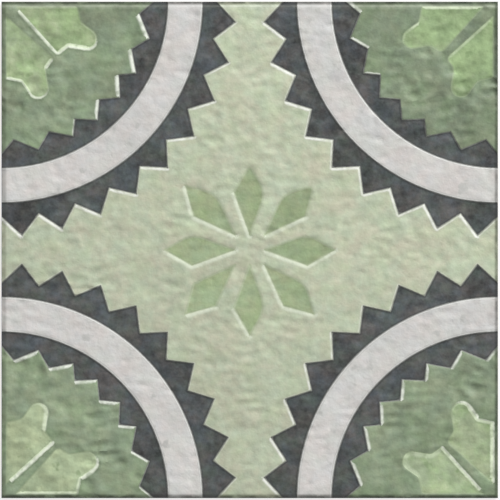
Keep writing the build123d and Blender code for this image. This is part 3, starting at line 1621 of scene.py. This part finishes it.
class ReliefLines(SharedEffect):
    """Pale lines, partly painted highlights; dark creases of painted shade; and soft borders along the
    outlines, wavering and broken as a glaze is.
    """

    name = "relief_lines"
    inputs = {
        "Waver": 0.7, "Core": 1.0, "Rise": 0.3, "Full Width": 1.1, "Crease Width": 1.0, "Crease Depth": 1.0,
        "Crease Spread": 0.0, "Band Crease": 1.0, "Bleed Width": 0.01, "Band Bleed Width": 0.75,
    }
    outputs = ("Pale", "Crease", "Bleed", "By Band")
    waver_cloud = Cloud(420.0, 2.0, 0.6)
    break_cloud = Cloud(130.0, 2.0, 0.6)
    break_range = (0.34, 0.52)
    least_left = 0.45
    least_width = 0.02
    fade_range = (0.55, 1.3)
    crease_start = 0.9
    crease_range = (0.2, 1.0)
    bleed_strength = 0.5
    covered_range = (0.0, 0.5)

    def drawn(self, sheet: NodeSheet, given: Sockets) -> dict[str, Socket]:
        """Masks from the stored distance to the outline and the stored width of its pale line.

        Args:
            sheet: Tree of the group.
            given: Its input values by name.

        Returns:
            The value of each output by name.
        """
        place = sheet.shifted_place(0.0)
        wave = sheet.math("SUBTRACT", sheet.noise(place, self.waver_cloud), 0.5)
        rim = sheet.math("MULTIPLY_ADD", wave, given["Waver"], sheet.attribute("rim"))
        width = sheet.attribute("line")
        share = sheet.math("DIVIDE", rim, sheet.math("MAXIMUM", width, self.least_width))
        strength = sheet.math("MINIMUM", sheet.math("DIVIDE", width, given["Full Width"]), 1.0)
        strength = sheet.math("MULTIPLY", strength, sheet.attribute("line_strength"))
        whole = sheet.ramp(sheet.noise(place, self.break_cloud), *self.break_range, self.least_left, 1.0)
        broken = sheet.math("MULTIPLY", strength, whole)
        rise = sheet.ramp(sheet.math("DIVIDE", rim, given["Rise"]), 0.0, 1.0, given["Core"], 1.0)
        risen = sheet.math("MULTIPLY", sheet.ramp(share, *self.fade_range, 1.0, 0.0), rise)
        pale = sheet.math("MULTIPLY", risen, broken)
        # Dark crease beside the pale line: painted shade.
        beyond = sheet.math("MULTIPLY_ADD", width, -self.crease_start, rim)
        away = sheet.math("DIVIDE", beyond, given["Crease Width"])
        depth = sheet.ramp(away, *self.crease_range, 1.0, 0.0)
        by_band = sheet.attribute("by_band")
        lined = sheet.math("MULTIPLY", broken, given["Crease Depth"])
        painted_crease = sheet.math("MULTIPLY", depth, sheet.math("MAXIMUM", lined, given["Crease Spread"]))
        crease = sheet.math("MULTIPLY", painted_crease, sheet.ramp(by_band, 0.0, 1.0, 1.0, given["Band Crease"]))
        wider = sheet.math("SUBTRACT", given["Band Bleed Width"], given["Bleed Width"])
        reach = sheet.math("MULTIPLY_ADD", by_band, wider, given["Bleed Width"])
        bleed = sheet.ramp(sheet.math("DIVIDE", rim, reach), 0.0, 1.0, self.bleed_strength, 0.0)
        seen = sheet.math("MAXIMUM", by_band, sheet.ramp(pale, *self.covered_range, 1.0, 0.0))
        bleed = sheet.math("MULTIPLY", bleed, seen)
        return {"Pale": pale, "Crease": crease, "Bleed": bleed, "By Band": by_band}


class EdgeShade(SharedEffect):
    """Dark line and shade along the sides of the tile, partly painted shade, and the pale strip, a painted
    highlight, broken up a little.
    """

    name = "edge_shade"
    inputs = {"Break": 0.3}
    outputs = ("Dark", "Pale")
    gap_shift = 1.3
    gap_cloud = Cloud(150.0, 3.0, 0.6)
    gap_range = (0.35, 0.6)

    def drawn(self, sheet: NodeSheet, given: Sockets) -> dict[str, Socket]:
        """The stored strengths, weakened here and there.

        Args:
            sheet: Tree of the group.
            given: Its input values by name.

        Returns:
            The value of each output by name.
        """
        noise = sheet.noise(sheet.shifted_place(self.gap_shift), self.gap_cloud)
        gaps = sheet.ramp(noise, *self.gap_range, 1.0, 0.0)
        share = sheet.math("SUBTRACT", 1.0, sheet.math("MULTIPLY", gaps, given["Break"]))
        stored = {name: sheet.attribute(f"edge_{name.lower()}") for name in self.outputs}
        return {name: sheet.math("MULTIPLY", value, share) for name, value in stored.items()}


class RusticSkin(SharedEffect):
    """Fine orange-peel and pinholes of a matt glaze or of pressed clay, as a height."""

    name = "rustic_skin"
    inputs = {"Shift": 0.0, "Peel": 1.0, "Pinholes": 0.15}
    outputs = ("Height",)
    broad_cloud = Cloud(240.0)
    fine_cloud = Cloud(800.0)
    fine_share = 0.2
    pits_in_metre = 260.0
    pit_range = (0.05, 0.22)
    pitted_cloud = Cloud(95.0, 1.0)
    pitted_range = (0.52, 0.62)

    def drawn(self, sheet: NodeSheet, given: Sockets) -> dict[str, Socket]:
        """A broad and a fine peel, with sparse round pits cut into it.

        Args:
            sheet: Tree of the group.
            given: Its input values by name.

        Returns:
            The value of each output by name.
        """
        place = sheet.shifted_place(given["Shift"])
        broad = sheet.noise(place, self.broad_cloud)
        fine = sheet.noise(place, self.fine_cloud)
        peel = sheet.math("MULTIPLY_ADD", fine, self.fine_share, broad)
        peel = sheet.math("MULTIPLY", peel, given["Peel"])
        cells = sheet.add("ShaderNodeTexVoronoi", feature="F1")
        sheet.feed(cells.inputs["Vector"], place)
        sheet.feed(cells.inputs["Scale"], self.pits_in_metre)
        sparse = sheet.ramp(sheet.noise(place, self.pitted_cloud), *self.pitted_range)
        round_pit = sheet.ramp(cells.outputs["Distance"], *self.pit_range, 1.0, 0.0)
        pit = sheet.math("MULTIPLY", round_pit, sparse)
        height = sheet.math("MULTIPLY_ADD", pit, sheet.math("MULTIPLY", given["Pinholes"], -1.0), peel)
        return {"Height": height}


@dataclass(frozen=True)
class Effects:
    """Shared effects of the tile's finishes."""

    mottle: Mottle
    lines: ReliefLines
    edge: EdgeShade
    skin: RusticSkin


@dataclass(frozen=True)
class Surface:
    """How a finish takes the light.

    Attributes:
        roughness: Least and greatest roughness.
        gloss: Specular level.
        peel: Height of its skin in metres.
        grain_range: Values of the grain at which it is least and most rough.
    """

    roughness: tuple[float, float]
    gloss: float
    peel: float
    grain_range: tuple[float, float] = (0.3, 0.7)

    def dress(self, sheet: NodeSheet, colour: Socket, grain: Socket, height: Socket) -> None:
        """Feed the shader of a material.

        Args:
            sheet: Tree of the material.
            colour: Its colour.
            grain: Noise that its roughness follows.
            height: Height of its skin, from 0 to 1.
        """
        shader = sheet.tree.nodes["Principled BSDF"]
        sheet.feed(shader.inputs["Base Color"], colour)
        roughness = sheet.ramp(grain, *self.grain_range, *self.roughness)
        sheet.feed(shader.inputs["Roughness"], roughness)
        sheet.feed(shader.inputs["Specular IOR Level"], self.gloss)
        bump = sheet.add("ShaderNodeBump")
        sheet.feed(bump.inputs["Distance"], self.peel)
        sheet.feed(bump.inputs["Height"], height)
        sheet.feed(shader.inputs["Normal"], bump.outputs["Normal"])


@dataclass(frozen=True)
class GlazeFinish:
    """Matt glaze of one field of the face.

    Attributes:
        name: Name of the material.
        warm: One end of the glaze's tint.
        cool: The other end.
        moss: Colour of the patches scattered over both.
        pale: Colour of the pale lines along the relief, partly printed lines and partly painted highlights
            on the lit walls.
        pale_band: The same where they border a toothed band, if it differs.
        crease: Colour of the painted shade in the creases along the relief.
        edge: Colour of the dark line over the arris, partly painted shade.
        beside: Colour of the leaf, petal or ground beside it, which shows through along the outline.
        beside_band: The same where it borders a toothed band.
        shift: Shift of the noises, so that no two glazes match.
        depths: Strength of the mottle: patch, cloud, grain and speck.
        drift: Change of its depth towards the upper right of the face, in shares for a metre; where it
            brightens the ground towards the lamp it is painted light.
        moss_drift: Change of the scattered patches in the same direction.
        moss_share: Strength of the scattered patches.
        smudge_share: Strength of the sparse smudges, which have the colour of the creases.
        pale_width: Width in millimetres at which a pale line has its full strength.
        core: Share of its strength that a pale line has on the outline itself.
        rise: Distance in millimetres from the outline over which it gains the rest.
        strip_share: Strength of the pale strip along the edge of the tile, a painted highlight.
        crease_width: Width of the creases in millimetres.
        crease_depth: Strength of the painted crease shade beside a pale line.
        crease_spread: Strength of the painted crease shade along edges without a pale line.
        band_crease: Share of the creases that is left where it borders a toothed band.
        bleed_width: Width in millimetres over which the field beside it shows through.
        surface: How it takes the light.
    """

    name: str
    warm: Tone
    cool: Tone
    moss: Tone
    pale: Tone
    crease: Tone
    edge: Tone
    beside: Tone
    beside_band: Tone
    shift: float
    depths: tuple[float, float, float, float]
    pale_band: Tone | None = None
    drift: float = 0.0
    moss_drift: float = 0.0
    moss_share: float = 0.6
    smudge_share: float = 0.25
    pale_width: float = 1.8
    core: float = 1.0
    rise: float = 0.3
    strip_share: float = 1.0
    crease_width: float = 1.0
    crease_depth: float = 1.0
    crease_spread: float = 0.0
    band_crease: float = 1.0
    bleed_width: float = 0.01
    surface: Surface = Surface((0.5, 0.68), 0.35, 0.00036)

    def colour(self, sheet: NodeSheet, effects: Effects, mottle: Sockets) -> Socket:
        """Colour of the glaze over the face, from its mottle to the lines along the relief and the edge.

        Args:
            sheet: Tree of the material.
            effects: Shared effects.
            mottle: Outputs of the mottle.

        Returns:
            The colour.
        """
        widths = {
            "Full Width": self.pale_width,
            "Core": self.core,
            "Rise": self.rise,
            "Crease Width": self.crease_width,
            "Crease Depth": self.crease_depth,
            "Crease Spread": self.crease_spread,
            "Band Crease": self.band_crease,
            "Bleed Width": self.bleed_width,
        }
        lines = effects.lines.place(sheet, widths)
        edge = effects.edge.place(sheet, {})
        tint = sheet.mix(mottle["Tint"], self.warm.linear, self.cool.linear)
        mossy = sheet.mix(sheet.math("MULTIPLY", mottle["Moss"], self.moss_share), tint, self.moss.linear)
        shaded = sheet.shaded(mossy, mottle["Shade"])
        smudges = sheet.math("MULTIPLY", mottle["Smudge"], self.smudge_share)
        smudged = sheet.mix(smudges, shaded, self.crease.linear)
        # Crease colour: painted shade beside the relief walls.
        painted_crease = sheet.mix(lines["Crease"], smudged, self.crease.linear)
        # Pale lines: printed lines and painted highlights on the lit walls.
        pale = sheet.mix(lines["By Band"], self.pale.linear, (self.pale_band or self.pale).linear)
        lined = sheet.mix(lines["Pale"], painted_crease, pale)
        beside = sheet.mix(lines["By Band"], self.beside.linear, self.beside_band.linear)
        bled = sheet.mix(lines["Bleed"], lined, beside)
        # Painted highlight strip and dark line along the arris, partly painted shade.
        stripped = sheet.mix(sheet.math("MULTIPLY", edge["Pale"], self.strip_share), bled, self.pale.linear)
        return sheet.mix(edge["Dark"], stripped, self.edge.linear)

    def material(self, effects: Effects) -> bpy.types.Material:
        """The glaze as a material.

        Args:
            effects: Shared effects.

        Returns:
            The material.
        """
        material = bpy.data.materials.new(self.name)
        material.use_nodes = True
        sheet = NodeSheet(material.node_tree)
        depths = dict(zip(Mottle.layers, self.depths))
        drifts = {"Drift": self.drift, "Moss Drift": self.moss_drift}
        mottle = effects.mottle.place(sheet, {"Shift": self.shift, **drifts, **depths})
        skin = effects.skin.place(sheet, {"Shift": self.shift})
        self.surface.dress(sheet, self.colour(sheet, effects, mottle), mottle["Grain"], skin["Height"])
        return material


@dataclass(frozen=True)
class ClayFinish:
    """Bare fired clay of the sides and the keyed back, dusted with kiln wash where it stood.

    Attributes:
        name: Name of the material.
        warm: One end of the clay's tint.
        cool: The other end.
        wash: Colour of the kiln wash.
        wash_height: Height above the bed up to which the wash reaches, in metres.
        wash_shift: Shift of the noise that breaks it up.
        wash_cloud: That noise.
        wash_range: Values of it between which the wash sets in.
        shift: Shift of the other noises.
        depths: Strength of the mottle: patch, cloud, grain and speck.
        grit: Strength of the orange-peel and the pinholes.
        surface: How it takes the light.
    """

    name: str = "bisque_clay"
    warm: Tone = Tone(206, 188, 160)
    cool: Tone = Tone(193, 181, 160)
    wash: Tone = Tone(232, 228, 218)
    wash_height: float = 0.0006
    wash_shift: float = 9.3
    wash_cloud: Cloud = Cloud(75.0, 4.0, 0.65)
    wash_range: tuple[float, float] = (0.36, 0.58)
    shift: float = 5.1
    depths: tuple[float, float, float, float] = (0.3, 0.25, 0.3, 0.35)
    grit: tuple[float, float] = (1.2, 0.9)
    surface: Surface = Surface((0.78, 0.95), 0.25, 0.00016)

    def material(self, effects: Effects) -> bpy.types.Material:
        """The clay as a material.

        Args:
            effects: Shared effects.

        Returns:
            The material.
        """
        material = bpy.data.materials.new(self.name)
        material.use_nodes = True
        sheet = NodeSheet(material.node_tree)
        depths = dict(zip(Mottle.layers, self.depths))
        mottle = effects.mottle.place(sheet, {"Shift": self.shift, **depths})
        peel, pinholes = self.grit
        skin = effects.skin.place(sheet, {"Shift": self.shift, "Peel": peel, "Pinholes": pinholes})
        tint = sheet.mix(mottle["Tint"], self.warm.linear, self.cool.linear)
        shaded = sheet.shaded(tint, mottle["Shade"])
        place = sheet.add("ShaderNodeSeparateXYZ")
        sheet.feed(place.inputs[0], sheet.add("ShaderNodeTexCoord").outputs["Object"])
        low = sheet.ramp(place.outputs["Z"], 0.0, self.wash_height, 1.0, 0.0)
        noise = sheet.noise(sheet.shifted_place(self.wash_shift), self.wash_cloud)
        patchy = sheet.ramp(noise, *self.wash_range)
        washed = sheet.mix(sheet.math("MULTIPLY", low, patchy), shaded, self.wash.linear)
        self.surface.dress(sheet, washed, mottle["Grain"], skin["Height"])
        return material


CREAM = Tone(219, 227, 208)
SAGE = Tone(184, 190, 167)
CHARCOAL = Tone(75, 76, 75)
LEAF_GREEN = Tone(155, 171, 134)
FIELD_GREEN = Tone(134, 147, 121)

FINISHES: dict[Glaze, GlazeFinish | ClayFinish] = {
    # The ground's drift brightens it towards the lamp: painted light.
    Glaze.GROUND: GlazeFinish(
        "sage_ground", warm=Tone(188, 187, 165), cool=Tone(180, 191, 168), moss=Tone(178, 191, 158),
        pale=CREAM, pale_band=Tone(222, 224, 216), crease=Tone(178, 184, 160), edge=Tone(56, 60, 46),
        beside=LEAF_GREEN, beside_band=CHARCOAL,
        shift=0.0, depths=(0.18, 0.46, 0.22, 0.08), drift=0.33, core=0.4, rise=0.8, bleed_width=1.2,
    ),
    Glaze.BAND: GlazeFinish(
        "charcoal_band", warm=Tone(80, 76, 74), cool=Tone(71, 77, 82), moss=Tone(67, 80, 69),
        pale=Tone(170, 172, 164), crease=Tone(46, 48, 48), edge=Tone(36, 37, 36),
        beside=Tone(165, 167, 160), beside_band=Tone(165, 167, 160),
        shift=0.41, depths=(1.6, 1.8, 1.0, 0.5), drift=-0.4,
        crease_width=1.7, crease_spread=0.7, strip_share=0.25,
    ),
    Glaze.RING: GlazeFinish(
        "off_white_ring", warm=Tone(206, 200, 196), cool=Tone(202, 202, 201), moss=Tone(200, 204, 196),
        pale=Tone(222, 222, 219), crease=Tone(184, 184, 180), edge=Tone(62, 62, 58),
        beside=CHARCOAL, beside_band=CHARCOAL,
        shift=0.83, depths=(0.12, 0.3, 0.12, 0.05), drift=-0.4, smudge_share=0.85,
        pale_width=0.9, core=0.4, rise=0.6,
    ),
    Glaze.FIELD: GlazeFinish(
        "deep_green_field", warm=Tone(135, 145, 119), cool=Tone(130, 145, 122), moss=Tone(123, 145, 109),
        pale=Tone(224, 231, 212), pale_band=Tone(220, 225, 213), crease=Tone(104, 118, 92),
        edge=Tone(36, 44, 30), beside=LEAF_GREEN, beside_band=CHARCOAL,
        shift=1.27, depths=(0.8, 0.8, 0.35, 0.15), drift=-1.0, smudge_share=0.4,
        pale_width=1.2, strip_share=0.35,
        crease_width=2.2, crease_depth=0.6, crease_spread=0.15, band_crease=0.15, bleed_width=0.8,
    ),
    Glaze.LEAF: GlazeFinish(
        "bright_green_leaf", warm=Tone(163, 174, 139), cool=Tone(157, 172, 140), moss=Tone(146, 176, 120),
        pale=Tone(222, 234, 204), crease=Tone(112, 134, 92), edge=Tone(40, 50, 30),
        beside=FIELD_GREEN, beside_band=CHARCOAL,
        shift=2.341, depths=(0.8, 0.9, 0.3, 0.12), drift=-1.0, moss_drift=1.2, smudge_share=0.5,
        pale_width=1.0, crease_depth=0.2, bleed_width=0.9,
    ),
    Glaze.PETAL: GlazeFinish(
        "leaf_green_petal", warm=Tone(157, 166, 131), cool=Tone(150, 167, 134), moss=Tone(149, 171, 124),
        pale=Tone(156, 171, 134), crease=Tone(116, 136, 94), edge=Tone(52, 64, 42),
        beside=SAGE, beside_band=CHARCOAL,
        shift=2.978, depths=(0.15, 0.4, 0.24, 0.1), drift=-3.0,
        pale_width=0.05, crease_width=1.1, bleed_width=1.2,
    ),
    Glaze.CLAY: ClayFinish(),
}


@dataclass
class Studio:
    """White table, soft light and camera. Lengths are in metres, except the lens and its sensor.

    Attributes:
        frame_width: Width of the picture at the height of the face.
        aim: Point of the face in the middle of the picture.
        floor_glow: Share of the floor that shows plain white to the camera.
        key_side: Direction of the lamp in plan.
        key_share: Light that the lamp gives a level face, in parts of full white.
        sky_share: The same for the surroundings.
    """

    face_height: float = 0.008
    lens: float = 320.0
    sensor: float = 36.0
    frame_width: float = 0.302
    aim: tuple[float, float] = (0.00018, -0.00006)
    floor_side: float = 16.0
    floor_level: float = -0.0002
    floor_tone: Tone = Tone(247, 247, 246)
    floor_roughness: float = 0.9
    floor_glow: float = 0.72
    key_side: tuple[float, float] = (0.54, 0.84)
    key_elevation: float = 32.0
    key_distance: float = 3.0
    key_size: float = 1.1
    key_share: float = 0.6
    sky_share: float = 0.42

    def floor(self) -> bpy.types.Object:
        """Pale floor that shows white to the camera and keeps the tile's shadow.

        Returns:
            The floor.
        """
        corners = (self.floor_side / 2.0 * SQUARE).tolist()
        mesh = bpy.data.meshes.new("floor")
        mesh.from_pydata([(x, y, self.floor_level) for x, y in corners], [], [(0, 1, 2, 3)])
        material = bpy.data.materials.new("white_table")
        material.use_nodes = True
        sheet = NodeSheet(material.node_tree)
        shader = material.node_tree.nodes["Principled BSDF"]
        shader.inputs["Base Color"].default_value = self.floor_tone.linear
        shader.inputs["Roughness"].default_value = self.floor_roughness
        glow = sheet.add("ShaderNodeEmission")
        blend = sheet.add("ShaderNodeMixShader")
        sheet.feed(blend.inputs[0], sheet.math("MULTIPLY", sheet.plain_sight(), self.floor_glow))
        sheet.feed(blend.inputs[1], shader.outputs[0])
        sheet.feed(blend.inputs[2], glow.outputs[0])
        sheet.feed(material.node_tree.nodes["Material Output"].inputs["Surface"], blend.outputs[0])
        mesh.materials.append(material)
        floor = bpy.data.objects.new("floor", mesh)
        bpy.context.collection.objects.link(floor)
        return floor

    def sky(self) -> bpy.types.World:
        """Even white surroundings that fill the shadows and show white to the camera.

        Returns:
            The world.
        """
        world = bpy.data.worlds.new("white_room")
        world.use_nodes = True
        sheet = NodeSheet(world.node_tree)
        background = world.node_tree.nodes["Background"]
        background.inputs["Color"].default_value = (1.0, 1.0, 1.0, 1.0)
        strength = sheet.ramp(sheet.plain_sight(), 0.0, 1.0, self.sky_share, 1.0)
        sheet.feed(background.inputs["Strength"], strength)
        bpy.context.scene.world = world
        return world

    def key_lamp(self) -> bpy.types.Object:
        """Soft lamp from the upper right, with the power that gives its share of the light.

        Returns:
            The lamp.
        """
        data = bpy.data.lights.new("key_lamp", "AREA")
        data.shape = "DISK"
        data.size = self.key_size
        rise = math.sin(math.radians(self.key_elevation))
        data.energy = self.key_share * (math.pi * self.key_distance) ** 2 / rise
        lamp = bpy.data.objects.new("key_lamp", data)
        bpy.context.collection.objects.link(lamp)
        level = math.sqrt(1.0 - rise**2) / math.hypot(*self.key_side)
        towards = Vector((self.key_side[0] * level, self.key_side[1] * level, rise))
        lamp.location = towards * self.key_distance
        lamp.rotation_euler = towards.to_track_quat("Z", "Y").to_euler()
        return lamp

    def camera(self) -> bpy.types.Object:
        """Camera straight above the face.

        Returns:
            The camera.
        """
        data = bpy.data.cameras.new("camera")
        data.lens = self.lens
        data.sensor_width = self.sensor
        camera = bpy.data.objects.new("camera", data)
        bpy.context.collection.objects.link(camera)
        height = self.face_height + self.frame_width * self.lens / self.sensor
        camera.location = (*self.aim, height)
        bpy.context.scene.camera = camera
        return camera


def main() -> None:
    """Build the tile and its studio."""
    bpy.context.scene.view_settings.view_transform = "Standard"
    tile = TileBody(FacePattern()).build()
    effects = Effects(Mottle(), ReliefLines(), EdgeShade(), RusticSkin())
    for glaze in Glaze:
        tile.data.materials.append(FINISHES[glaze].material(effects))
    bpy.context.collection.objects.link(tile)
    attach(tile, BODY)
    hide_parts(NODE)
    log.info("%s: %d triangles", tile.name, len(tile.data.polygons))
    studio = Studio()
    for piece in (studio.floor(), studio.sky(), studio.key_lamp(), studio.camera()):
        log.info("%s is in place", piece.name)


if __name__ == "__main__":
    logging.basicConfig(level=logging.INFO, format="%(name)s: %(message)s")
    main()
